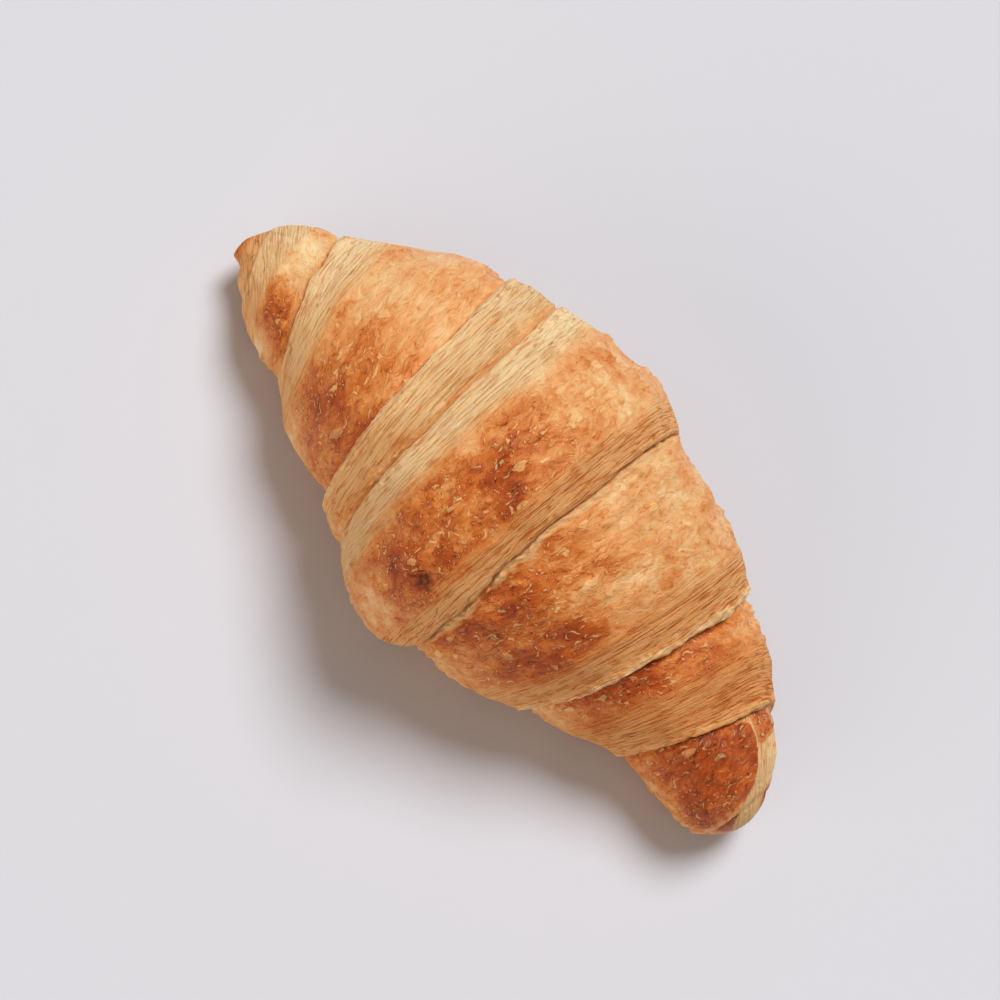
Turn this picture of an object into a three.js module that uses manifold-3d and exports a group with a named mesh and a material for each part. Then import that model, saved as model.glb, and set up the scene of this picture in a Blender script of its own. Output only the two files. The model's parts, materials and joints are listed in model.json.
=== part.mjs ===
// A butter croissant, baked as one piece.
// It is a long triangle of laminated dough rolled up from its base. The triangle's point, the tongue,
// ends under the belly, and its two cut edges wind away from there to the two tips.
// Millimetres. X runs along the roll, +Z is up and the flat baked base lies on z = 0.
import * as THREE from 'three';
import { mergeVertices } from 'three/addons/utils/BufferGeometryUtils.js';
import Module from 'manifold-3d';

// ---- Driving dimensions ----

const LENGTH = 150;
const TIP_X = LENGTH / 2;
const TONGUE_X = -6; // where the tongue's point lies, under the belly

// The body along X: [x, half width, sideways bow of its centre line]
const BODY = [
  [-75, 8, -1],
  [-69, 9, 0],
  [-62, 12.5, 0.2],
  [-52, 17, 2],
  [-38, 23.6, 3.2],
  [-20, 29.5, 1.8],
  [0, 33, 0],
  [18, 28.8, 1.3],
  [34, 23.3, 4.5],
  [48, 17.8, 5.2],
  [60, 13.7, 3.2],
  [69, 10.5, 0.2],
  [75, 8, -1],
];

// Where each cut edge lies along X, a quarter turn at a time from the tongue's point.
// The turns start at the bottom and climb the front (-Y), the top and the back (+Y).
const RIGHT_EDGE = [-6, 6.6, 6.9, 10, 18, 30.5, 39.4, 41, 44, 48.8, 56.7, 62.3, 66, 71, 71.5, 73, 75];
const LEFT_EDGE = [
  -6, -16, -21.5, -25, -25.5, -25, -31, -36.5, -43, -49, -59.5, -64, -65.5, -66.5, -73, -74, -75,
];

// How far each cut edge stands out at the same quarter turns: 1 is a full step, 0 lies level
const RIGHT_RELIEF = [1, 1, 0.85, 0.6, 0.8, 0.9, 1, 0.8, 0.9, 1, 1, 0.8, 0.8, 0.8, 0.8, 0.8, 0.8];
const LEFT_RELIEF = [1, 0.75, 0.5, 0.3, 0.5, 1, 0.75, 0.3, 0.6, 1, 1, 0.7, 0.8, 0.8, 0.8, 0.8, 0.8];

const TIP_ROUND = 9; // length of the rounding at each tip
const TIP_LIFT = 1.5; // the tips curl up from the tray by this much
const SECTION_POWER = 2.25; // 2 is an ellipse, more is squarer
const CROWN_RISE = [2.3, 0.783]; // crown's height above the axis: at zero width, per mm of half width
const BELLY_DROP = [1.98, 0.669]; // depth of the belly below the axis, in the same way
const AXIS_HEIGHT = [1.65, 0.556]; // height of the axis; less than the drop, so the base bakes flat

const WRAP_STEP = 3; // a wrap stands this much over the next one out
const WRAP_SWELL = 1.6; // extra fullness in the middle of a wrap
const CREASE = 1; // depth of the crease under a cut edge
const CREASE_WIDTH = 1.2;
const EDGE_ROUND = 3.5; // a wrap rolls over to its cut edge in this distance
const LEAST_BREADTH = 0.001; // keeps a wrap that narrows to nothing out of a division by zero
const FULL_SIZE = 20; // wraps thin out where the body's half width is less than this
const LEAST_SIZE = 0.3;

const TURNS = 4; // quarter turns in one turn
const EDGE_OPENS = 0.5; // quarter turns in which the tongue's point opens into a full edge
const EDGE_FADES = 6; // mm from the tip in which the last of the edge dies out
const ROWS = 10; // mesh rows in a quarter turn
const COLUMNS = 9; // mesh columns across a wrap
const WELD = 0.001; // corners closer than this are one corner

// ---- Curves ----

const clamp01 = (v) => Math.min(Math.max(v, 0), 1);
const signedPower = (v, power) => Math.sign(v) * Math.abs(v) ** power;
const line = ([start, slope], v) => start + slope * v;

// A smooth curve through [x, y] knots: cubic pieces that share their slopes.
function curve(knots) {
  const rise = (i) => (knots[i + 1][1] - knots[i][1]) / (knots[i + 1][0] - knots[i][0]);
  const last = knots.length - 1;
  const slopes = knots.map(([x], i) => {
    if (i === 0) return rise(0);
    if (i === last) return rise(last - 1);
    const before = x - knots[i - 1][0];
    const after = knots[i + 1][0] - x;
    return (after * rise(i - 1) + before * rise(i)) / (before + after);
  });
  return (x) => {
    const next = knots.findIndex(([kx]) => kx > x);
    const i = next < 0 ? last - 1 : Math.max(next - 1, 0);
    const span = knots[i + 1][0] - knots[i][0];
    const t = clamp01((x - knots[i][0]) / span);
    const value = knots[i][1] * (1 + 2 * t) * (1 - t) ** 2 + knots[i + 1][1] * t * t * (3 - 2 * t);
    const bend = slopes[i] * t * (1 - t) ** 2 - slopes[i + 1] * t * t * (1 - t);
    return value + span * bend;
  };
}

const halfWidth = curve(BODY.map(([x, width]) => [x, width]));
const bow = curve(BODY.map(([x, , side]) => [x, side]));
const byTurn = (values) => curve(values.map((value, turn) => [turn, value]));
const right = { edge: byTurn(RIGHT_EDGE), relief: byTurn(RIGHT_RELIEF), turns: RIGHT_EDGE.length - 1 };
const left = { edge: byTurn(LEFT_EDGE), relief: byTurn(LEFT_RELIEF), turns: LEFT_EDGE.length - 1 };

// How strongly a cut edge stands out: nothing at the tongue's point and at the tips.
function edgeStrength(half, turn) {
  const opened = clamp01(turn / EDGE_OPENS);
  const fromTip = clamp01((TIP_X - Math.abs(half.edge(turn))) / EDGE_FADES);
  return half.relief(turn) * opened * opened * (3 - 2 * opened) * fromTip;
}

// ---- The rolled surface ----

// Height of a wrap over the mean body, between the crease at its inner side and its own cut edge.
function wrapRise(fromCrease, toEdge, creaseStrength, ownStrength) {
  const breadth = Math.max(fromCrease + toEdge, LEAST_BREADTH);
  const across = clamp01(fromCrease / breadth);
  const slope = (1 - across) * (WRAP_STEP + CREASE * Math.exp(-fromCrease / CREASE_WIDTH));
  const innerHalf = creaseStrength * Math.max(1 - 2 * across, 0) ** 2;
  const outerHalf = ownStrength * Math.max(2 * across - 1, 0) ** 2;
  const rolled = Math.sqrt(1 - (1 - clamp01(toEdge / Math.min(EDGE_ROUND, breadth))) ** 2);
  const fall = (WRAP_STEP + CREASE) * (1 - rolled);
  const swell = WRAP_SWELL * (1 - innerHalf - outerHalf);
  return WRAP_STEP / 2 + swell - creaseStrength * slope - ownStrength * fall;
}

// Point on the body at `x` and at `turn` quarter turns round it, raised by `rise`.
function bodyPoint(x, turn, rise) {
  const width = halfWidth(x);
  const angle = (turn * Math.PI) / 2;
  const side = signedPower(Math.sin(angle), 2 / SECTION_POWER);
  const down = signedPower(Math.cos(angle), 2 / SECTION_POWER);
  const end = clamp01((Math.abs(x) - (TIP_X - TIP_ROUND)) / TIP_ROUND);
  const rounding = Math.sqrt(1 - end ** 2);
  const raised = rise * Math.min(Math.max(width / FULL_SIZE, LEAST_SIZE), 1);
  const reach = line(down > 0 ? BELLY_DROP : CROWN_RISE, width) + raised;
  const axis = line(AXIS_HEIGHT, width) + TIP_LIFT * (x / TIP_X) ** 4;
  const y = bow(x) - side * (width + raised) * rounding;
  return new THREE.Vector3(x, y, axis - down * reach * rounding);
}

function rolledPoint(half, turn, column) {
  const inner = turn < TURNS ? TONGUE_X : half.edge(turn - TURNS);
  const outer = half.edge(turn);
  const across = Math.sin((column / COLUMNS) * (Math.PI / 2));
  const x = inner + (outer - inner) * across;
  const crease = turn < TURNS ? 0 : edgeStrength(half, turn - TURNS);
  const own = edgeStrength(half, turn);
  return bodyPoint(x, turn, wrapRise(Math.abs(x - inner), Math.abs(outer - x), crease, own));
}

// Half of the dough sheet, unrolled as a strip from the tongue's point to its tip.
function sheet(half, flip) {
  const rows = (half.turns + TURNS) * ROWS;
  const corners = [];
  const face = (a, b, c) => corners.push(a, flip ? c : b, flip ? b : c);
  const at = (row, column) => rolledPoint(half, row / ROWS, column);
  for (let row = 0; row < rows; row += 1) {
    for (let column = 0; column < COLUMNS; column += 1) {
      const near = at(row, column);
      const far = at(row + 1, column + 1);
      face(near, at(row, column + 1), far);
      face(near, far, at(row + 1, column));
    }
  }
  return corners;
}

// A closed surface whose neighbouring faces share their corners, without faces that shrink to nothing.
function welded(geometry) {
  geometry.deleteAttribute('normal');
  geometry.deleteAttribute('uv');
  const merged = mergeVertices(geometry, WELD);
  const corners = Array.from(merged.index.array);
  const kept = [];
  for (let i = 0; i < corners.length; i += 3) {
    const [a, b, c] = corners.slice(i, i + 3);
    if (a !== b && b !== c && c !== a) kept.push(a, b, c);
  }
  merged.setIndex(kept);
  return merged;
}

function rolledSurface() {
  const corners = [...sheet(right, false), ...sheet(left, true)];
  return new THREE.BufferGeometry().setFromPoints(corners);
}

// ---- The solid ----

const wasm = await Module();
wasm.setup();

function solid(surface) {
  const geometry = welded(surface);
  const vertProperties = new Float32Array(geometry.attributes.position.array);
  const triVerts = new Uint32Array(geometry.index.array);
  return new wasm.Manifold(new wasm.Mesh({ numProp: 3, vertProperties, triVerts }));
}

// Everything under the tray's surface is taken away, which leaves the flat baked base.
function flatBased(body) {
  const tray = new THREE.BoxGeometry(2 * LENGTH, 2 * LENGTH, LENGTH).translate(0, 0, -LENGTH / 2);
  const { vertProperties, triVerts } = body.subtract(solid(tray)).getMesh();
  const geometry = new THREE.BufferGeometry();
  geometry.setAttribute('position', new THREE.BufferAttribute(new Float32Array(vertProperties), 3));
  geometry.setIndex(Array.from(triVerts));
  return geometry;
}

// The origin sits under the middle of the part's box.
function centred(geometry) {
  geometry.computeBoundingBox();
  const middle = geometry.boundingBox.getCenter(new THREE.Vector3());
  geometry.translate(-middle.x, -middle.y, 0);
  geometry.computeVertexNormals();
  return geometry;
}

// ---- Material and assembly ----

const crust = new THREE.MeshStandardMaterial({ color: 0xc68642, roughness: 0.55, metalness: 0 });

const croissant = new THREE.Mesh(centred(flatBased(solid(rolledSurface()))), crust);
croissant.name = 'croissant';

const part = new THREE.Group();
part.name = 'croissant_part';
part.add(croissant);

export default part;
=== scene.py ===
"""Looks of the croissant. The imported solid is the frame, and one finely shaped crust stands for it.

The crust is the dough sheet itself, unrolled into two strips that run from the tongue's point to the
tips. It is shaped in millimetres, with the same body and cut edges as the solid. A place on the sheet
is named by its turn, which counts quarter turns from the tongue's point: bottom, front, top, back.
"""

import json
import math

import bpy
import numpy as np
from mathutils import Matrix, Vector

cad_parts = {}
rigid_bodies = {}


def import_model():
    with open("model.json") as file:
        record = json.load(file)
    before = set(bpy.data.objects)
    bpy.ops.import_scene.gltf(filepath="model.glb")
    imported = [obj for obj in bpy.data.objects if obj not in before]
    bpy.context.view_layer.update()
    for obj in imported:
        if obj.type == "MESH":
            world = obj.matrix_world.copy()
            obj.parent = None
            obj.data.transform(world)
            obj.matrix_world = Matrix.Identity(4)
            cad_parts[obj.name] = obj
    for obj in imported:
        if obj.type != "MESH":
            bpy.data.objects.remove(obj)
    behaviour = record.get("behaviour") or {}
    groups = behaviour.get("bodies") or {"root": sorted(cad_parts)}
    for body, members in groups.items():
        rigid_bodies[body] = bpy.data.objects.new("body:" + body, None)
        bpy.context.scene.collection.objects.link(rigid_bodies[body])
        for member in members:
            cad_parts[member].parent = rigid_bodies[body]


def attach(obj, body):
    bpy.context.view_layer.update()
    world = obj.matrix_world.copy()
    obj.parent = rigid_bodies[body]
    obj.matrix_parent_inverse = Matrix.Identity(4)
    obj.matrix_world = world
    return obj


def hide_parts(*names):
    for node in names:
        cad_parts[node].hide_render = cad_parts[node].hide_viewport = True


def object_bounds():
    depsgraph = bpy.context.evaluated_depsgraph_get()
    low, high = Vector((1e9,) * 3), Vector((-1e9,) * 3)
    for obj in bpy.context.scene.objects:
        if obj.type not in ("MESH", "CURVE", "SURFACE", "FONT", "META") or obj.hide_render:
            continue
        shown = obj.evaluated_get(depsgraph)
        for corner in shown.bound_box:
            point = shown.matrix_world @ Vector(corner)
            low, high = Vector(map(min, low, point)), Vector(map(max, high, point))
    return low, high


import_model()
CAD_LOW, CAD_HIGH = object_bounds()
MM = 0.001

# ---- The body and its cut edges, as in the solid (mm) ----

TIP_X = 75.0
TONGUE_X = -6.0
# x, half width, sideways bow of the centre line
BODY = np.array(
    [
        (-75, 8, -1),
        (-69, 9, 0),
        (-62, 12.5, 0.2),
        (-52, 17, 2),
        (-38, 23.6, 3.2),
        (-20, 29.5, 1.8),
        (0, 33, 0),
        (18, 28.8, 1.3),
        (34, 23.3, 4.5),
        (48, 17.8, 5.2),
        (60, 13.7, 3.2),
        (69, 10.5, 0.2),
        (75, 8, -1),
    ]
)
# x of each cut edge at every quarter turn
RIGHT_EDGE = [-6, 6.6, 6.9, 10, 18, 30.5, 39.4, 41, 44, 48.8, 56.7, 62.3, 66, 71, 71.5, 73, 75]
LEFT_EDGE = [-6, -16, -21.5, -25, -25.5, -25, -31, -36.5, -43, -49, -59.5, -64, -65.5, -66.5, -73, -74, -75]
# how far each cut edge stands out at the same quarter turns
RIGHT_RELIEF = [1, 1, 0.85, 0.6, 0.8, 0.9, 1, 0.8, 0.9, 1, 1, 0.8, 0.8, 0.8, 0.8, 0.8, 0.8]
LEFT_RELIEF = [1, 0.75, 0.5, 0.3, 0.5, 1, 0.75, 0.3, 0.6, 1, 1, 0.7, 0.8, 0.8, 0.8, 0.8, 0.8]
TIP_ROUND = 9.0
TIP_LIFT = 1.5
SECTION_POWER = 2.25
# each of these is a fixed part, and a share of the half width
CROWN_RISE = (2.3, 0.783)
BELLY_DROP = (1.98, 0.669)
AXIS_HEIGHT = (1.65, 0.556)

WRAP_STEP = 3.0
WRAP_SWELL = 1.5
CREASE = 1.0
CREASE_WIDE = 0.7
FULL_SIZE = 20.0  # half width of the body from which the wraps have their full height
LEAST_SIZE = 0.3
EDGE_OPENS = 0.5
EDGE_FADES = 6.0

# ---- The cut edges and tips of the visible crust (mm) ----

# At each quarter turn, up to the last change: how broad the pale band along the cut edge is, how brown it
# is, and how much of a torn rim lies beside the crease and of a flaky lip along the edge
RIGHT_LOOK = {
    "band": [5, 4.6, 4.6, 5.5, 6, 7, 7, 8, 9, 9.5, 10, 9, 7, 4, 4],
    "tone": [0.35, 0.34, 0.34, 0.34, 0.36, 0.35, 0.36, 0.33, 0.37, 0.38, 0.41, 0.42, 0.5, 0.4, 0.3, 0.3],
    "rim": [0, 0, 0, 0, 0.7, 1, 1, 0.8, 0.3, 0, 0],
    "lip": [0.1, 0.1, 0.1, 0.2, 0.5, 0.9, 1, 0.8, 0.5, 0.5, 0.4, 0.4, 0.3, 0.5, 0.5, 0.3, 0.3],
}
LEFT_LOOK = {
    "band": [6, 6, 6, 7, 8, 5, 10, 9, 8, 7.5, 7, 7, 7, 7, 6, 5, 5],
    "tone": [
        0.36, 0.22, 0.08, 0.08, 0.3, 0.3, 0.14, 0.16, 0.3,
        0.3, 0.1, 0.12, 0.3, 0.3, 0.08, 0.2, 0.3, 0.3,
    ],
    "rim": [0, 0, 0, 0, 0.5, 0.8, 0.9, 0.7, 0.1, 0, 0, 0.1, 0.4, 0.4, 0.6, 0.4, 0.3, 0.3],
    "lip": [0.3, 0.5, 0.7, 0.7, 0.6, 0.6, 0.5, 0.4, 0.3, 0.3],
}
TORN_EDGE = ((0.75, 15), (0.35, 4.2), (0.2, 1.1))  # how far the cut edge wanders, and over what length
MEAN_RADIUS = (1.0, 0.93)  # of the roll, a fixed part and a share of the half width
BAND_DROP = 2.0  # the band slopes down by this much
LIP_DROP = WRAP_STEP + CREASE - BAND_DROP  # and ends in a lip this high
LIP_ROUND = 1.1
LIP_OVERHANG = 1.2
LIP_REACH = 0.8  # how far from the edge the overhang is greatest

# On the right tip the last flap ends here, in quarter turns at each x, and the rolled end shows behind it
FLAP_X = [56, 59.7, 64.1, 68.7, 71.5, 73.9, 75]
FLAP_TURN = [2.02, 2.16, 2.17, 2.03, 1.75, 1.25, 0.8]
FLAP_SHARP = 15  # steepness of the flap's end, for each quarter turn past it
HOLLOW_TURN, HOLLOW_X = 2.45, 72.9  # the middle of the rolled end, where the hollow is darkened with painted shade
HOLLOW_QUARTER = 13  # length of a quarter turn there
GRAIN = (-0.766, 0.643)  # direction of the grain on the tips
GRAIN_RISE = 0.23
BUD = (-74.0, -3.0, 9.0)  # a small knob on the left tip
BUD_PUSH = (-0.6, -1.2, 0.4)

# Heights of the relief
LUMPS = ((0.8, 17, 41), (0.5, 7, 42))  # height, size and seed
FOLD_HEIGHT = 0.34
PLEAT_HEIGHT = 0.55
LAYER_HEIGHT = 0.09
SLIT_DEPTH = 0.25
TORN_RIM_HEIGHT = 1.1
FLAKY_LIP_HEIGHT = 0.9
SMALL_BLISTER_HEIGHT = 0.2
BLISTER_HEIGHT = 0.5
PLATEAU_HEIGHT = 0.28
WRINKLE_HEIGHT = 0.12
SCORCH_HEIGHT = 0.35
ROLLED_END_DEPTH = 0.8
BASE_TURN = 1.0  # how softly the flat underside turns up to the sides
BASE_DROP = 0.03

# ---- How far the crust has baked, from 0 for cream to 1 for the darkest brown ----

TONES = {"crust": 0.34, "rim": 0.19, "lip": 0.11, "rolled end": 0.17, "base": 0.62}
# and how much is added to the tone in these places
BROWNER = {
    "front": 0.36,
    "back": 0.22,
    "right tip": 0.04,
    "left tip's top": -0.16,
    # painted shade: the crust beside the crease, under the lip of the wrap above, is drawn browner
    "crease": 0.1,
    "clouds": 0.11,
    "scorch": 0.25,
    "bud": 0.3,
    # painted shade in the hollow of the rolled end
    "hollow": 0.5,
    # painted shade in the recess behind the last flap
    "recess": 0.08,
}
# x, and how far round from the bottom each wrap's dark front reaches, in quarter turns
SHOULDER_X = [-70, -45, -15, 0, 12, 25, 35, 45, 57, 75]
SHOULDER_TURN = [1.45, 1.7, 1.82, 1.82, 1.82, 1.85, 1.9, 2.0, 2.4, 2.6]
SCORCH_TURN, SCORCH_X = 1.42, -0.1  # a scorched blister on the tongue
SCORCH_QUARTER = 46  # length of a quarter turn there
# Patches baked darker or paler than their surroundings: side, quarter turn, x, breadth, amount
PATCHES = [
    (1, 1.95, -3, 8, 0.19),
    (-1, 1.95, -3, 8, 0.19),
    (1, 1.15, -4, 6, -0.2),
    (-1, 1.15, -4, 6, -0.2),
    (1, 5.99, 18, 5, -0.1),
    (1, 5.7, 12, 7, 0.05),
    (1, 10.25, 46, 7, 0.18),
    (1, 9.6, 40, 5, 0.08),
    (-1, 9.6, -40, 6, 0.12),
    (-1, 10.1, -45, 7, -0.06),
    (-1, 13.5, -60, 3.5, 0.07),
    (-1, 14.1, -64, 5, -0.14),
]
PATCH_ROUND = 1.4  # a quarter turn is about this many half widths long

# ---- The mesh ----

ROWS = 110  # in a quarter turn
COLUMNS = 84  # across a wrap
TURN = 4 * ROWS
LAST = 5 * TURN
CROWDING = 0.5  # how much closer the columns lie at the crease and the edge than halfway


# ---- Curves and noise ----


def smooth(low, high, v):
    t = np.clip((v - low) / (high - low), 0, 1)
    return t * t * (3 - 2 * t)


def bell(v, centre, spread):
    return np.exp(-(((v - centre) / spread) ** 2))


def towards(value, goal, share):
    return value + (goal - value) * share


def curve(xs, ys):
    """A smooth curve through its knots, the same cubic as the solid's."""
    xs, ys = np.asarray(xs, float), np.asarray(ys, float)
    slopes = np.gradient(ys, xs)

    def at(x):
        i = np.clip(np.searchsorted(xs, x, side="right") - 1, 0, len(xs) - 2)
        span = xs[i + 1] - xs[i]
        t = np.clip((x - xs[i]) / span, 0, 1)
        value = ys[i] * (1 + 2 * t) * (1 - t) ** 2 + ys[i + 1] * t * t * (3 - 2 * t)
        return value + span * (slopes[i] * t * (1 - t) ** 2 - slopes[i + 1] * t * t * (1 - t))

    return at


def by_turn(values):
    """A curve through one value for each quarter turn, which keeps its last value from there on."""
    return curve(np.arange(len(values)), values)


half_width = curve(BODY[:, 0], BODY[:, 1])
bow = curve(BODY[:, 0], BODY[:, 2])

TABLE = 1 << 14  # rows of random values that the noise and the spots draw on
rng = np.random.default_rng(11)
DIRECTIONS = rng.normal(size=(TABLE, 3))
DIRECTIONS /= np.linalg.norm(DIRECTIONS, axis=1, keepdims=True)
CHANCES = rng.uniform(size=(TABLE, 5))


def scramble(cells, seed):
    """A table row for every whole-numbered place."""
    h = np.full(np.broadcast(*cells).shape, 374761393 * (seed + 1), np.int64)
    for cell, prime in zip(cells, (668265263, 2246822519, 3266489917)):
        h = (h ^ (cell.astype(np.int64) * prime)) & 0xFFFFFFFF
        h = ((h ^ (h >> 15)) * 2654435761) & 0xFFFFFFFF
    return (h >> 13) & (TABLE - 1)


def noise(*place, seed=0):
    """Smooth noise between about -1 and 1, in two or three dimensions, with bumps about 1 wide."""
    place = np.broadcast_arrays(*place)
    base = [np.floor(p) for p in place]
    part = [p - b for p, b in zip(place, base)]
    ease = [f * f * f * (f * (6 * f - 15) + 10) for f in part]
    total = np.zeros(place[0].shape)
    for corner in np.ndindex(*(2,) * len(place)):
        pull = DIRECTIONS[scramble([b + c for b, c in zip(base, corner)], seed)]
        weight = np.ones(place[0].shape)
        push = np.zeros(place[0].shape)
        for axis, c in enumerate(corner):
            weight *= ease[axis] if c else 1 - ease[axis]
            push += pull[..., axis] * (part[axis] - c)
        total += weight * push
    return total * 1.7


def layered(*place, seed=0, octaves=3, fade=0.5):
    """Noise with finer noise on it, each octave weaker than the last."""
    total, size, most = 0, 1.0, 0
    for octave in range(octaves):
        scale = 2.07**octave
        total = total + size * noise(*[p * scale for p in place], seed=seed + 17 * octave)
        most += size
        size *= fade
    return total / most


def spots(u, v, seed, share, stretch):
    """Round spots scattered one to a cell: how deep inside the nearest one each place is, and its chance.

    `share` is the share of cells that hold a spot, and may vary from place to place.
    """
    deep = np.zeros(u.shape)
    luck = np.zeros(u.shape)
    cell_u, cell_v = np.floor(u), np.floor(v)
    for du in (-1, 0, 1):
        for dv in (-1, 0, 1):
            cu, cv = cell_u + du, cell_v + dv
            chance = CHANCES[scramble([cu, cv], seed)]
            radius = 0.16 + 0.34 * chance[..., 2] ** 2
            turn = chance[..., 3] * math.pi
            x = u - cu - 0.2 - 0.6 * chance[..., 0]
            y = v - cv - 0.2 - 0.6 * chance[..., 1]
            along = x * np.sin(turn) + y * np.cos(turn)
            aside = x * np.cos(turn) - y * np.sin(turn)
            far = np.hypot(along / stretch, aside) / radius
            inside = np.where(chance[..., 4] < share, np.clip(1 - far, 0, 1), 0)
            luck = np.where(inside > deep, chance[..., 2] + chance[..., 0], luck)
            deep = np.maximum(deep, inside)
    return deep, luck


# ---- The dough sheet ----


class Strip:
    """Half of the sheet: rows run round the roll and columns run across the wrap."""

    def __init__(self, knots, relief, look, side, seed):
        self.side, self.seed = side, seed
        turn = np.arange(LAST + 1) / ROWS
        plain_edge = by_turn(knots)
        plain = plain_edge(turn)
        opened = smooth(0, EDGE_OPENS, turn)
        from_tip = np.clip((TIP_X - np.abs(plain)) / EDGE_FADES, 0, 1)
        strength = opened * from_tip * by_turn(relief)(turn)

        radius = MEAN_RADIUS[0] + MEAN_RADIUS[1] * half_width(np.where(turn < 4, TONGUE_X, plain))
        row_steps = (radius[1:] + radius[:-1]) / 2 * math.pi / 2 / ROWS
        length = np.concatenate([[0], np.cumsum(row_steps)])
        torn = sum(
            far * noise(length / size, seed + 0.5, seed=seed + octave)
            for octave, (far, size) in enumerate(TORN_EDGE)
        )
        outer = plain + torn * strength
        inner = np.concatenate([np.full(TURN, TONGUE_X), outer[: LAST + 1 - TURN]])

        even = np.arange(COLUMNS + 1) / COLUMNS
        self.across = even - CROWDING * np.sin(2 * math.pi * even) / (2 * math.pi)
        self.across[-1] = 1
        self.turn = turn[:, None] + 0 * self.across
        self.angle = np.mod(self.turn, 4)
        self.on_tongue = self.turn < 4
        self.x = inner[:, None] + (outer - inner)[:, None] * self.across
        self.x[:, -1] = outer
        self.along = length[:, None] + 0 * self.across
        self.from_crease = np.abs(self.x - inner[:, None])
        self.to_edge = np.abs(outer[:, None] - self.x)
        self.breadth = np.maximum(np.abs(outer - inner), 1e-3)[:, None]
        self.crease = np.concatenate([np.zeros(TURN), strength[: LAST + 1 - TURN]])[:, None]
        self.own = strength[:, None]
        self.size = np.clip(half_width(self.x) / FULL_SIZE, LEAST_SIZE, 1)
        self.look = {name: by_turn(values)(turn)[:, None] for name, values in look.items()}
        # distance across the sheet, in step with the cut edge; on the tongue both halves share it
        shared = self.x - self.across**2 * (plain - plain_edge(2.0))[:, None]
        self.lane = np.where(self.on_tongue, shared, np.abs(plain[:, None] - self.x) + seed)
        self.shape()

    def frame_point(self, rise):
        """Points on the body, raised by rise, in the solid's axes before it is centred."""
        width = half_width(self.x)
        angle = self.turn * math.pi / 2
        bend = 2 / SECTION_POWER
        sideways = np.sign(np.sin(angle)) * np.abs(np.sin(angle)) ** bend
        down = np.sign(np.cos(angle)) * np.abs(np.cos(angle)) ** bend
        end = np.clip((np.abs(self.x) - (TIP_X - TIP_ROUND)) / TIP_ROUND, 0, 1)
        rounding = np.sqrt(1 - end**2)
        reach = np.where(
            down > 0, BELLY_DROP[0] + BELLY_DROP[1] * width, CROWN_RISE[0] + CROWN_RISE[1] * width
        )
        axis = AXIS_HEIGHT[0] + AXIS_HEIGHT[1] * width + TIP_LIFT * (self.x / TIP_X) ** 4
        y = bow(self.x) - sideways * (width + rise) * rounding
        z = axis - down * (reach + rise) * rounding
        return np.stack([self.x, y, z], -1)

    def on_body(self, size):
        """The place on the plain body, for noise that both strips share."""
        return np.moveaxis(self.place / size, -1, 0)

    def on_sheet(self, across, along):
        """The place on the unrolled sheet, for noise with bumps this wide and this long."""
        return self.lane / across, self.along / along

    def shape(self):
        """Finds the regions of the crust, raises it in layers of detail, and bakes it."""
        self.place = self.frame_point(0)
        beside_crease = np.where(self.on_tongue, 1, smooth(0, 0.7, self.from_crease))
        self.off_seam = smooth(0, 0.7, self.to_edge) * beside_crease
        self.mark_rolled_end()
        self.mark_regions()
        rise = self.wrap() + self.dough_relief() + self.edge_relief() + self.skin_relief()
        self.points = self.leaning(rise)
        self.bake()

    def mark_rolled_end(self):
        """The right tip shows the rolled end of the dough, and a recess, behind its last flap."""
        px, pz = self.place[..., 0], self.place[..., 2]
        past_flap = FLAP_SHARP * (self.angle - np.interp(self.x, FLAP_X, FLAP_TURN))
        past_flap = past_flap + 0.5 * noise(px / 3, pz / 3, seed=31)
        behind = smooth(-0.4, 0.4, past_flap) * smooth(3.7, 3.4, self.angle)
        behind = behind * (self.turn > 12) * (self.x > 0)
        self.recess = behind * smooth(2.12, 2.3, self.angle) * smooth(65.0, 63.2, self.x)
        self.rolled_end = behind - self.recess

    def mark_regions(self):
        """Pale band, torn rim, flaky lip and glazed skin, each from 0 to 1."""
        a, b, along, seed = self.from_crease, self.to_edge, self.along, self.seed
        self.band_wide = np.minimum(self.look["band"], 0.9 * self.breadth)
        uneven = 1.2 * noise(*self.on_sheet(9, 13), seed=seed + 3)
        uneven = uneven + 1.1 * noise(*self.on_sheet(1.3, 24), seed=seed + 4)
        band = smooth(1.5, 0.6, (b + uneven) / self.band_wide) * smooth(0, 0.2, self.own)
        band = band * smooth(66, 60, self.x)
        left_tip = smooth(14.7, 15.3, self.turn) * (self.side < 0)
        self.band = np.maximum(band, np.maximum(self.rolled_end, left_tip))

        rim_wide = a + 1.6 * noise(*self.on_sheet(4, 9), seed=seed + 5)
        rim_wide = rim_wide + 0.9 * noise(*self.on_sheet(1, 1.6), seed=seed + 27)
        self.rim = smooth(2.7, 1.4, rim_wide) * np.clip(1.4 * self.crease, 0, 1) * self.look["rim"]

        lip_wide = b + 0.8 * noise(along / 3, b / 2, seed=seed + 33)
        lip_wide = lip_wide + 0.6 * noise(along / 1.1, b, seed=seed + 34)
        lip = smooth(2.0, 1.0, lip_wide) * smooth(0, 0.3, self.own) * self.look["lip"]
        uneven = smooth(-0.3, 0.3, noise(along / 5, seed + 0.5, seed=seed + 37))
        self.lip = lip * (0.85 + 0.15 * uneven)
        self.glazed = (1 - self.band) * (1 - self.rim) * (1 - self.lip)

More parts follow.
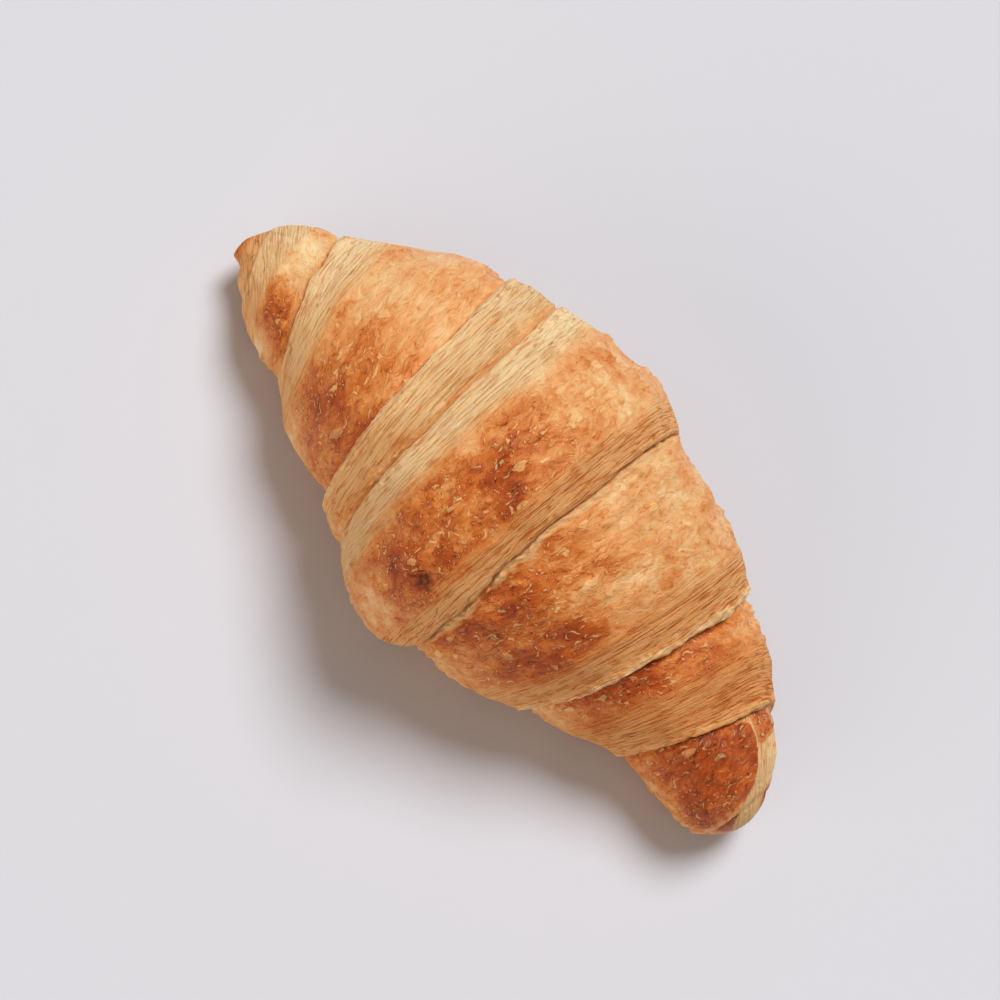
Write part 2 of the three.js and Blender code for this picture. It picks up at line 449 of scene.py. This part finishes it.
    def wrap(self):
        """Height of the plain wrap, with its swell, its lipped cut edge and the sunken rolled end."""
        a, b, t = self.from_crease, self.to_edge, self.across
        level = (1 - t) * (WRAP_STEP + CREASE * np.exp(-a / CREASE_WIDE))
        hollow_in = self.crease * np.maximum(1 - 2 * t, 0) ** 2
        hollow_out = self.own * np.maximum(2 * t - 1, 0) ** 2
        slope = 1 - np.clip(b / self.band_wide, 0, 1)
        lip = 1 - np.sqrt(1 - (1 - np.clip(b / np.minimum(LIP_ROUND, self.breadth), 0, 1)) ** 2)
        fall = BAND_DROP * slope**1.6 + LIP_DROP * lip
        swell = WRAP_SWELL * (1 - hollow_in - hollow_out)
        rise = (WRAP_STEP / 2 + swell - self.crease * level - self.own * fall) * self.size
        sunk = self.rolled_end * smooth(58, 61, self.x) + self.recess * self.off_seam
        return rise - ROLLED_END_DEPTH * sunk

    def dough_relief(self):
        """Soft lumps, folds that run with the roll, and pleats that gather at the left tip."""
        lumps = sum(height * noise(*self.on_body(size), seed=seed) for height, size, seed in LUMPS)
        folds = layered(*self.on_sheet(4.0, 30), seed=self.seed + 6, fade=0.6)
        gathered = smooth(-53, -62, self.x) * smooth(0.6, 1.0, self.angle)
        pleats = layered(self.along / 2.4, self.x / 14, seed=77, octaves=2)
        gathers = FOLD_HEIGHT * folds + PLEAT_HEIGHT * gathered * pleats
        return lumps * (0.4 + 0.6 * self.size) + gathers * self.off_seam

    def edge_relief(self):
        """Layers of dough seen end-on in the band, slits between them, and torn edges beside it."""
        a, b, along, seed = self.from_crease, self.to_edge, self.along, self.seed
        on_band = self.band * self.off_seam
        lane = self.lane + 0.3 * noise(*self.on_sheet(4, 14), seed=seed + 26)
        layers = noise(lane / 1.3, along / 16, seed=seed + 7)
        layers = layers + 0.5 * noise(lane / 0.7, along / 12, seed=seed + 8)
        self.slit = smooth(0.62, 0.85, noise(*self.on_sheet(0.5, 3.5), seed=seed + 9)) * on_band

        ragged = 0.4 + 0.7 * noise(along / 1.9, a / 1.1, seed=seed + 10)
        ragged = ragged + 0.8 * noise(along / 0.9, a / 0.8, seed=seed + 28)
        torn_rim = np.clip(ragged, 0, 1.5) * bell(a, 1.1, 0.8) * self.crease * self.look["rim"]
        flaky = 0.5 + 0.8 * noise(along / 1.8, b / 0.9, seed=seed + 35)
        flaky = flaky + 0.5 * noise(along / 0.8, b / 0.8, seed=seed + 36)
        flaky_lip = np.clip(flaky, 0, 1.4) * self.lip * smooth(0, 0.35, b)
        torn = TORN_RIM_HEIGHT * torn_rim * self.off_seam + FLAKY_LIP_HEIGHT * flaky_lip
        return LAYER_HEIGHT * layers * on_band - SLIT_DEPTH * self.slit + torn * self.size

    def skin_relief(self):
        """Blisters of three sizes, wrinkles and the scorched blister, on the glazed skin."""
        x, along, seed = self.x, self.along, self.seed
        skin = self.glazed * self.off_seam
        u = x + 0.5 * noise(x / 1.7, along / 1.7, seed=seed + 11)
        v = along + 0.5 * noise(x / 1.7, along / 1.7, seed=seed + 12)
        patchy = smooth(-0.5, 0.6, noise(*self.on_body(11), seed=43))
        small = spots(u / 1.25, v / 1.5, seed + 13, 0.12 + 0.38 * patchy, 1.5)[0]
        middle, luck = spots(u / 3.0, v / 3.6, seed + 14, 0.10 + 0.40 * patchy, 1.4)
        large = spots(u / 7.5, v / 8.5, seed + 15, 0.38, 1.2)[0]
        wrinkle = layered(x / 1.6, along / 2.4, seed=seed + 18, octaves=2)
        rise = SMALL_BLISTER_HEIGHT * smooth(0, 0.6, small)
        rise = rise + BLISTER_HEIGHT * (smooth(-0.15, 0.45, middle) - smooth(-0.15, 0.45, 0))
        rise = rise + PLATEAU_HEIGHT * smooth(0, 0.16, large) + WRINKLE_HEIGHT * wrinkle
        self.chip = skin * smooth(0.3, 0.5, middle) * (luck > 1.25) * smooth(60, 54, x)

        from_scorch = np.hypot((self.turn - SCORCH_TURN) * SCORCH_QUARTER, x - SCORCH_X)
        ragged = 1.2 * noise(x / 0.8, along / 0.8, seed=3)
        self.scorch = smooth(2.7, 0.6, from_scorch + ragged) * self.on_tongue
        rough = noise(x / 0.9, along / 0.9, seed=4)
        return skin * (rise + SCORCH_HEIGHT * self.scorch * rough)

    def leaning(self, rise):
        """The raised points, with a lip that leans out over the next wrap, and the knob drawn out."""
        points = self.frame_point(rise)
        near = self.to_edge / LIP_REACH
        lean = LIP_OVERHANG * near * np.exp(1 - near) * self.own * self.size
        points[..., 0] += self.side * lean * np.clip(self.breadth / 6, 0, 1)
        from_bud = np.linalg.norm(points - BUD, axis=-1)[..., None]
        points += np.array(BUD_PUSH) * (smooth(4.0, 1.8, from_bud) - 0.5 * bell(from_bud, 4.9, 1.1))
        return points

    def bake(self):
        """How far each place has browned: most on the front shoulder, less on the upper back. Beside the
        crease, in the hollow of the rolled end and in the recess, the extra brown is painted shade.
        """
        x, q = self.x, self.angle
        shoulder = np.interp(x, SHOULDER_X, SHOULDER_TURN)
        front = smooth(shoulder + 0.4, shoulder - 0.4, q + 0.3 * noise(*self.on_body(9), seed=46))
        front = front * smooth(0.85, 1.35, q)
        back = smooth(2.75, 3.15, q) * smooth(3.7, 3.3, q)
        left_top = smooth(-58, -62, x) * smooth(1.5, 1.9, q) * smooth(3.0, 2.6, q)
        brown = TONES["crust"] + BROWNER["front"] * front + BROWNER["back"] * back
        brown = brown + BROWNER["right tip"] * smooth(52, 60, x) + BROWNER["left tip's top"] * left_top
        # painted shade: browner beside the crease, under the lip of the wrap above
        brown = brown + BROWNER["crease"] * np.exp(-self.from_crease / 2.5) * self.crease
        brown = brown + BROWNER["clouds"] * layered(*self.on_body(13), seed=45)
        brown = brown + BROWNER["scorch"] * self.scorch
        for side, turn, patch_x, breadth, amount in PATCHES:
            if side == self.side:
                round_roll = (self.turn - turn) * PATCH_ROUND * half_width(patch_x)
                brown = brown + amount * bell(np.hypot(round_roll, x - patch_x), 0, breadth)

        brown = towards(self.look["tone"], brown, 1 - self.band)
        brown = towards(brown, TONES["rim"], self.rim * (1 - self.band))
        brown = towards(brown, TONES["lip"], self.lip)
        from_bud = np.linalg.norm(self.place - BUD, axis=-1)
        brown = brown + BROWNER["bud"] * smooth(3.2, 1.2, from_bud)
        brown = towards(brown, TONES["base"], 0.8 * smooth(5, 1, self.place[..., 2]))
        # painted shade: the hollow in the middle of the rolled end is drawn darker
        hollow = smooth(3, 0.5, np.hypot((q - HOLLOW_TURN) * HOLLOW_QUARTER, x - HOLLOW_X))
        brown = towards(brown, TONES["rolled end"], self.rolled_end)
        # the recess behind the last flap is drawn darker too: painted shade
        self.brown = brown + BROWNER["hollow"] * hollow + BROWNER["recess"] * self.recess
        # dark in the slits and the scorch, and in a thin line of painted shade along the crease
        cracks_and_crease_shade = self.slit + 0.9 * self.scorch + 0.8 * self.crease * bell(self.from_crease, 0, 0.4)
        self.cracks_and_crease_shade = np.clip(cracks_and_crease_shade, 0, 1)

    def grain_place(self):
        """Where each point lies on the unrolled sheet: across it, along it, and which layer it is.

        At the tips, where the sheet gathers, the grain runs straight instead, along GRAIN.
        """
        straight = self.rolled_end > 0.5 if self.side > 0 else self.turn > 12.4
        straight = straight | (np.abs(self.x) > 73.5)
        x, y, z = np.moveaxis(self.points, -1, 0)
        across = np.where(straight, x * GRAIN[1] - y * GRAIN[0] + GRAIN_RISE * z, self.lane)
        along = np.where(straight, x * GRAIN[0] + y * GRAIN[1], self.along)
        return np.stack([across, along, 0 * self.lane + np.where(self.on_tongue, 0, self.seed)], -1)

    def fields(self):
        """What the material reads, three values for each point."""
        return {
            "sheet": self.grain_place(),
            "skin": np.stack([self.brown, self.band, self.chip], -1),
            "cracks_shade_and_glaze": np.stack([self.cracks_and_crease_shade, self.rim, self.glazed], -1),
        }

    def at_corners(self, grid):
        """A grid's values at the four corners of every face, wound so that the face points out."""
        ring = [(0, 0), (0, 1), (1, 1), (1, 0)][:: self.side]
        corners = [grid[row : row + LAST, column : column + COLUMNS] for row, column in ring]
        return np.stack(corners, 2).reshape(-1, 4, *grid.shape[2:])

    def picture_map(self):
        """Each corner on the unrolled sheet: the share of a turn, and the distance across all wraps."""
        step = np.linalg.norm(np.diff(self.points, axis=1), axis=-1)
        across = np.concatenate([np.zeros((LAST + 1, 1)), np.cumsum(step, axis=1)], axis=1)
        for row in range(TURN, LAST + 1):
            across[row] += across[row - TURN, -1]
        turns = self.at_corners(self.turn / 4)
        turns -= np.floor(turns.min(1, keepdims=True))
        return np.stack([turns, self.at_corners(across * self.side)], -1)


def number_points(strips):
    """Numbers the points of both strips, one number where they meet, and returns how many there are."""
    count = TURN  # the tongue's point and the middle line of the tongue, which both strips share
    for strip in strips:
        ids = np.zeros((LAST + 1, COLUMNS + 1), np.int64)
        own = (LAST + 1) * COLUMNS
        ids[:, 1:] = count + np.arange(own).reshape(LAST + 1, COLUMNS)
        tip = count + own
        count = tip + 1
        ids[:TURN, 0] = np.arange(TURN)
        ids[0] = 0
        ids[4 * TURN :, -1] = tip
        ids[LAST] = tip
        ids[TURN:, 0] = ids[: LAST + 1 - TURN, -1]
        strip.ids = ids
    return count


def on_tray(points):
    """Flattens the underside where it bakes on the tray, and centres the crust over the solid."""
    z = points[:, 2]
    points[:, 2] = (z + np.sqrt(z * z + BASE_TURN**2)) / 2 - BASE_DROP
    low, high = points[:, 1].min(), points[:, 1].max()
    points[:, 1] += (CAD_LOW.y + CAD_HIGH.y) / 2 / MM - (low + high) / 2
    return points


def crust_mesh():
    strips = [
        Strip(RIGHT_EDGE, RIGHT_RELIEF, RIGHT_LOOK, 1, 100),
        Strip(LEFT_EDGE, LEFT_RELIEF, LEFT_LOOK, -1, 200),
    ]
    count = number_points(strips)
    places = np.zeros((count, 3))
    for strip in strips:
        places[strip.ids] = strip.points
    faces = np.concatenate([strip.at_corners(strip.ids) for strip in strips])

    # corners that fall together are drawn once, and faces with fewer than three are left out
    keep = faces != np.roll(faces, 1, axis=1)
    sizes = keep.sum(1)
    whole = sizes >= 3
    keep &= whole[:, None]
    sizes = sizes[whole]
    loops = faces[keep]
    used = np.zeros(count, bool)
    used[loops] = True
    number = np.cumsum(used) - 1
    points = on_tray(places[used])

    mesh = bpy.data.meshes.new("croissant_crust")
    mesh.vertices.add(len(points))
    mesh.loops.add(len(loops))
    mesh.polygons.add(len(sizes))
    mesh.vertices.foreach_set("co", (points * MM).astype(np.float32).ravel())
    mesh.loops.foreach_set("vertex_index", number[loops].astype(np.int32))
    mesh.polygons.foreach_set("loop_start", (np.cumsum(sizes) - sizes).astype(np.int32))
    mesh.update(calc_edges=True)
    mesh.polygons.foreach_set("use_smooth", np.ones(len(sizes), bool))

    fields = [strip.fields() for strip in strips]
    for name in fields[0]:
        values = np.concatenate([strip.at_corners(field[name]) for strip, field in zip(strips, fields)])
        layer = mesh.attributes.new(name, "FLOAT_VECTOR", "CORNER")
        layer.data.foreach_set("vector", values[keep].astype(np.float32).ravel())
    flat = np.concatenate([strip.picture_map() for strip in strips])
    flat[..., 1] = (flat[..., 1] - flat[..., 1].min()) / np.ptp(flat[..., 1])
    layer = mesh.uv_layers.new(name="OFBake")
    layer.uv.foreach_set("vector", flat[keep].astype(np.float32).ravel())
    return mesh


# ---- Materials ----

# What each kind of mark adds to the browning where it is strongest. Grain, speck and pits make the crust
# browner where they lie low, and the fine lines and gaps of the layers do the same on top of their own
# colour: painted shade in the low places of the relief.
SHADE = {
    "cloud": 0.65,
    "mottle": 0.5,
    "island": -0.12,
    "grain": -0.2,
    "speck": -0.25,
    "pits": 0.14,
    # painted shade round each flake
    "flake_shade": 0.08,
    "fine lines": -0.26,
    "broad lines": 0.08,
    "gaps": 0.31,
}
# how strongly the cream of lifted glaze covers it; on the blisters the cream is a painted highlight on
# their tops
CREAM = {"large flakes": 0.75, "small flakes": 0.65, "blister": 0.14, "chips": 0.5}
# and how high it stands, in millimetres
HEIGHT = {
    "large flakes": 0.09,
    "small flakes": 0.06,
    "speck": 0.34,
    "grain": 0.1,
    "grain of the rim": 0.3,
    "pits": -0.08,
    "chips": 0.08,
}
# Colours from screen values 0 to 255: the crust as it browns, lifted glaze, and cracks, whose dark brown
# also paints the shade along the creases
BAKING = [
    (0.00, (250, 220, 172)),
    (0.20, (238, 190, 132)),
    (0.38, (230, 160, 96)),
    (0.54, (214, 126, 56)),
    (0.70, (188, 88, 30)),
    (0.85, (156, 62, 17)),
    (1.00, (96, 34, 10)),
]
LIFTED = (250, 206, 138)
CRACK_AND_SHADE_BROWN = (104, 42, 14)
CRACK_AND_SHADE_COVER = 0.55
FLOOR_COLOUR = (212, 213, 221)


def srgb(red, green, blue):
    """An opaque colour from screen values 0 to 255."""
    parts = [v / 255 for v in (red, green, blue)]
    return (*(v / 12.92 if v <= 0.04045 else ((v + 0.055) / 1.055) ** 2.4 for v in parts), 1)


class Nodes:
    """Short calls for building a material's node tree."""

    def __init__(self, name):
        self.material = bpy.data.materials.new(name)
        self.material.use_nodes = True
        self.tree = self.material.node_tree
        self.shader = self.tree.nodes["Principled BSDF"].inputs

    def add(self, kind, inputs=None, **settings):
        node = self.tree.nodes.new(kind)
        for key, value in settings.items():
            setattr(node, key, value)
        for key, value in (inputs or {}).items():
            self.put(value, node.inputs[key])
        return node

    def put(self, value, socket):
        if isinstance(value, bpy.types.NodeSocket):
            self.tree.links.new(value, socket)
        else:
            socket.default_value = value

    def math(self, operation, first, *others):
        """Applies an operation to its values from left to right, or to the only value."""
        if not others:
            return self.add("ShaderNodeMath", {0: first}, operation=operation).outputs[0]
        for other in others:
            first = self.add("ShaderNodeMath", {0: first, 1: other}, operation=operation).outputs[0]
        return first

    def plus(self, *values):
        return self.math("ADD", *values)

    def times(self, *values):
        return self.math("MULTIPLY", *values)

    def most(self, *values):
        return self.math("MAXIMUM", *values)

    def centred(self, value, size):
        """Noise between 0 and 1, moved to lie around 0 and scaled."""
        return self.times(self.math("SUBTRACT", value, 0.5), size)

    def range(self, value, low, high, to_low=0.0, to_high=1.0):
        inputs = {0: value, 1: low, 2: high, 3: to_low, 4: to_high}
        return self.add("ShaderNodeMapRange", inputs, interpolation_type="SMOOTHSTEP").outputs[0]

    def vector_math(self, operation, a, b):
        return self.add("ShaderNodeVectorMath", {0: a, 1: b}, operation=operation).outputs[0]

    def attribute(self, name):
        return self.add("ShaderNodeAttribute", attribute_name=name).outputs["Vector"]

    def split(self, vector):
        return self.add("ShaderNodeSeparateXYZ", {0: vector}).outputs

    def noise(self, place, fineness, detail, rough):
        """Noise between 0 and 1. `fineness` is how many bumps there are in a millimetre each way."""
        at = self.add("ShaderNodeMapping", {"Vector": place, "Scale": fineness}).outputs[0]
        inputs = {"Vector": at, "Scale": 1.0, "Detail": detail, "Roughness": rough}
        return self.add("ShaderNodeTexNoise", inputs).outputs["Fac"]

    def cells(self, place, fineness):
        inputs = {"Vector": place, "Scale": fineness}
        return self.add("ShaderNodeTexVoronoi", inputs, voronoi_dimensions="2D").outputs

    def ramp(self, value, stops):
        node = self.add("ShaderNodeValToRGB", {0: value})
        points = node.color_ramp.elements
        while len(points) < len(stops):
            points.new(0.5)
        for point, (place, colour) in zip(points, stops):
            point.position = place
            point.color = srgb(*colour)
        return node.outputs[0]

    def mix(self, share, a, b):
        node = self.add("ShaderNodeMix", data_type="RGBA")
        for socket, value in ((0, share), (6, a), (7, b)):
            self.put(value, node.inputs[socket])
        return node.outputs[2]


class CrustNodes(Nodes):
    """The marks on the crust, each from 0 to 1, and the colour and relief that they add up to."""

    def __init__(self, name):
        super().__init__(name)
        self.sheet = self.attribute("sheet")
        self.brown, self.band, self.chip = self.split(self.attribute("skin"))
        self.cracks_and_crease_shade, self.rim, self.glazed = self.split(self.attribute("cracks_shade_and_glaze"))

        # places on the sheet, pushed about so that nothing lines up
        wander = self.add("ShaderNodeTexNoise", {"Vector": self.sheet, "Scale": 0.45, "Detail": 3.0})
        push = self.vector_math("MULTIPLY", wander.outputs["Color"], (3.0, 3.0, 0))
        self.adrift = self.vector_math("ADD", self.sheet, push)
        self.mark_skin()
        self.mark_layers()

    def mark_skin(self):
        """Mottling of the glazed skin, coarse to fine, and its pits, flakes, blisters and chips."""
        self.cloud = self.noise(self.adrift, (0.14, 0.10, 1), 3, 0.55)
        self.island = self.noise(self.adrift, (0.30, 0.21, 1), 4, 0.55)
        self.mottle = self.noise(self.adrift, (0.6, 0.45, 1), 3, 0.55)
        self.speck = self.noise(self.adrift, (1.7, 1.1, 1), 3, 0.6)
        self.grain = self.noise(self.sheet, (3.4, 2.4, 1), 3, 0.7)
        self.pits = self.times(self.range(self.speck, 0.39, 0.29), self.glazed)

        ripe = self.noise(self.sheet, (0.16, 0.12, 1), 2, 0.5)
        self.large_flakes, large_flake_shade = self.flakes(ripe, 0.5, 0.9, 0.26, 0.55)
        self.small_flakes, small_flake_shade = self.flakes(ripe, 1.1, 0.34, 0.17, 0.5)
        self.flake_shade = self.most(large_flake_shade, small_flake_shade)

        cells = self.cells(self.adrift, 0.62)
        chosen = self.range(self.split(cells["Color"])[0], 0.5, 0.7)
        self.blister = self.times(self.range(cells["Distance"], 0.45, 0.1), chosen, self.glazed)
        self.chips = self.range(self.plus(self.chip, self.centred(self.speck, 0.9)), 0.4, 0.6)

    def flakes(self, ripe, fineness, length, breadth, bare):
        """Lifted flakes: small bent slivers, one to a cell at most, lying roughly along the roll.

        Gives the flakes and a ring of painted shade round each. `bare` is about the share of cells without
        one, which falls where the skin is ripe.
        """
        cells = self.cells(self.adrift, fineness)
        x, y, _ = self.split(self.vector_math("SUBTRACT", self.adrift, cells["Position"]))
        turn, chance, size = self.split(cells["Color"])
        angle = self.centred(turn, 2.6)
        cosine = self.math("COSINE", angle)
        sine = self.math("SINE", angle)
        aside = self.math("SUBTRACT", self.times(x, cosine), self.times(y, sine))
        ahead = self.plus(self.times(y, cosine), self.times(x, sine))
        bent = self.plus(aside, self.times(ahead, ahead, 0.5))
        wide = self.times(bent, 1 / breadth)
        long = self.times(ahead, 1 / length)
        far = self.math("SQRT", self.plus(self.times(wide, wide), self.times(long, long)))

        chosen = self.math("GREATER_THAN", chance, self.range(ripe, 0.40, 0.62, bare + 0.25, bare - 0.12))
        chosen = self.times(chosen, self.glazed)
        mark = self.range(far, self.range(size, 0, 1, 0.6, 1.3), 0.35)
        crisp = self.range(self.brown, 0.38, 0.58, 0.25, 1.0)
        # the second value is a ring of painted shade round each flake
        return self.times(mark, chosen, crisp), self.times(self.range(far, 2.0, 1.1), chosen)

    def mark_layers(self):
        """Layers of the dough seen end-on: fine lines along the cut edge, and gaps between them."""
        self.fine = self.noise(self.sheet, (3.1, 0.16, 0.01), 3, 0.65)
        self.broad = self.noise(self.sheet, (0.5, 0.05, 0.01), 2, 0.6)
        threads = self.centred(self.noise(self.sheet, (1.5, 0.09, 0.01), 2, 0.5), 1.0)
        threads = self.range(self.math("ABSOLUTE", threads), 0.05, 0.0)
        threads = self.times(threads, self.range(self.fine, 0.62, 0.44, 0.15, 0.8))
        self.gaps = self.most(self.times(self.range(self.fine, 0.38, 0.32), 0.6), threads)

    def shade(self):
        """How far each place has browned, with all the marks on it, and with painted shade where the relief
        lies low and round the flakes.
        """
        clouds = self.centred(self.cloud, SHADE["cloud"])
        mottling = self.centred(self.mottle, SHADE["mottle"])
        # the fine lines and gaps are browner where they lie low, partly their own colour and partly painted
        # shade
        lines = self.plus(
            self.centred(self.fine, SHADE["fine lines"]),
            self.centred(self.broad, SHADE["broad lines"]),
            self.times(self.gaps, SHADE["gaps"]),
        )
        end_on = self.range(self.most(self.band, self.times(self.rim, 0.5)), 0, 1, 0.15, 1.0)
        return self.plus(
            self.brown,
            self.times(clouds, self.range(self.glazed, 0, 1, 0.25, 1)),
            self.times(mottling, self.range(self.glazed, 0, 1, 0.3, 1)),
            self.times(self.range(self.island, 0.46, 0.64), self.glazed, SHADE["island"]),
            # painted shade: browner where the grain, speck and pits lie low
            self.centred(self.grain, SHADE["grain"]),
            self.times(lines, end_on),
            self.times(self.centred(self.speck, SHADE["speck"]), self.glazed),
            self.times(self.pits, SHADE["pits"]),
            self.times(self.flake_shade, SHADE["flake_shade"]),
        )

    def colour(self):
        """The browned crust. It is cream where the glaze has lifted off, and as a painted highlight on the
        blisters, and dark in its cracks and in a line of painted shade along the creases.
        """
        cream = self.most(
            self.times(self.large_flakes, CREAM["large flakes"]),
            self.times(self.small_flakes, CREAM["small flakes"]),
            # painted highlight: the tops of the blisters are drawn paler
            self.times(self.blister, CREAM["blister"]),
            self.times(self.chips, CREAM["chips"]),
        )
        cream = self.times(cream, self.range(self.brown, 0.6, 0.9, 1.0, 0.45))
        colour = self.mix(cream, self.ramp(self.shade(), BAKING), srgb(*LIFTED))
        # dark in the cracks, and painted shade along the creases
        return self.mix(self.times(self.cracks_and_crease_shade, CRACK_AND_SHADE_COVER), colour, srgb(*CRACK_AND_SHADE_BROWN))

    def height(self):
        """Relief of the marks in millimetres. Blisters stand highest where the crust is brown."""
        return self.plus(
            self.times(self.fine, self.range(self.band, 0, 1, 0.08, 0.6)),
            self.times(self.gaps, self.range(self.band, 0, 1, 0.0, -0.2)),
            self.times(self.large_flakes, HEIGHT["large flakes"]),
            self.times(self.small_flakes, HEIGHT["small flakes"]),
            self.times(self.speck, HEIGHT["speck"]),
            self.times(self.grain, HEIGHT["grain"]),
            self.times(self.blister, self.range(self.brown, 0.45, 0.65, 0.1, 0.36)),
            self.times(self.pits, HEIGHT["pits"]),
            self.times(self.grain, self.rim, HEIGHT["grain of the rim"]),
            self.times(self.chips, HEIGHT["chips"]),
        )


def crust_material():
    n = CrustNodes("croissant_crust")
    n.put(n.colour(), n.shader["Base Color"])
    roughness = n.range(n.glazed, 0.0, 1.0, 0.7, 0.36)
    n.put(n.plus(roughness, n.centred(n.speck, 0.3)), n.shader["Roughness"])
    n.put(0.3, n.shader["Specular IOR Level"])
    n.put((1.0, 0.86, 0.68, 1), n.shader["Specular Tint"])
    n.put(0.4, n.shader["Subsurface Weight"])
    n.put((1.0, 0.35, 0.12), n.shader["Subsurface Radius"])
    n.put(0.8 * MM, n.shader["Subsurface Scale"])
    bump = n.add("ShaderNodeBump", {"Height": n.height(), "Distance": MM, "Strength": 1.0})
    n.put(bump.outputs[0], n.shader["Normal"])
    return n.material


def floor_material():
    n = Nodes("plain_floor")
    n.put(srgb(*FLOOR_COLOUR), n.shader["Base Color"])
    n.put(0.8, n.shader["Roughness"])
    return n.material


# ---- The piece ----

crust = bpy.data.objects.new("croissant_crust", crust_mesh())
bpy.context.collection.objects.link(crust)
crust.data.materials.append(crust_material())
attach(crust, "root")
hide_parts("croissant")

# ---- Stage (m) ----

CENTRE = (CAD_LOW + CAD_HIGH) / 2
FLOOR_SIZE = 4.0

bpy.ops.mesh.primitive_plane_add(size=FLOOR_SIZE, location=(0, 0, CAD_LOW.z))
floor = bpy.context.object
floor.name = "floor"
floor.data.materials.append(floor_material())


def facing(azimuth, elevation):
    """Direction towards a viewer: azimuth 0 stands at -Y, 90 at +X."""
    a, e = math.radians(azimuth), math.radians(elevation)
    return Vector((math.cos(e) * math.sin(a), -math.cos(e) * math.cos(a), math.sin(e)))


def soft_sun(name, azimuth, elevation, strength, spread, colour):
    """A far, broad light, even over the whole floor. `spread` is how wide its disc looks, in degrees."""
    data = bpy.data.lights.new(name, "SUN")
    data.energy = strength
    data.angle = math.radians(spread)
    data.color = colour
    lamp = bpy.data.objects.new(name, data)
    lamp.location = CENTRE + facing(azimuth, elevation)
    lamp.rotation_euler = facing(azimuth, elevation).to_track_quat("Z", "Y").to_euler()
    bpy.context.collection.objects.link(lamp)


soft_sun("key", azimuth=197, elevation=59, strength=2.75, spread=28, colour=(1.0, 1.0, 1.0))
soft_sun("fill", azimuth=-8, elevation=10, strength=1.5, spread=60, colour=(1.0, 0.86, 0.7))

world = bpy.data.worlds.new("studio")
bpy.context.scene.world = world
world.use_nodes = True
surroundings = world.node_tree.nodes["Background"].inputs
surroundings["Color"].default_value = (1.0, 0.92, 0.82, 1)
surroundings["Strength"].default_value = 0.24
bpy.context.scene.view_settings.view_transform = "Standard"
bpy.context.scene.view_settings.look = "None"

# ---- Camera: nearly overhead, turned so that the roll runs from upper left to lower right ----

VIEW_AZIMUTH, VIEW_ELEVATION, VIEW_ROLL = 8, 70, math.radians(42)
VIEW_DISTANCE = 0.42
LENS_MM = 79
AIM = Vector((0, 0.0021, 0.020))
SHIFT_RIGHT, SHIFT_UP = -0.0050, 0.0004  # moves the camera and what it looks at, as the picture is held

back = facing(VIEW_AZIMUTH, VIEW_ELEVATION)
level_right = (-back).cross(Vector((0, 0, 1))).normalized()
level_up = level_right.cross(-back)
right = level_right * math.cos(VIEW_ROLL) + level_up * math.sin(VIEW_ROLL)
up = level_up * math.cos(VIEW_ROLL) - level_right * math.sin(VIEW_ROLL)
turned = Matrix((right, up, back)).transposed().to_4x4()
place = AIM + back * VIEW_DISTANCE + right * SHIFT_RIGHT + up * SHIFT_UP

lens = bpy.data.cameras.new("camera")
lens.lens = LENS_MM
lens.dof.use_dof = False
camera = bpy.data.objects.new("camera", lens)
camera.matrix_world = Matrix.Translation(place) @ turned
bpy.context.collection.objects.link(camera)
bpy.context.scene.camera = camera
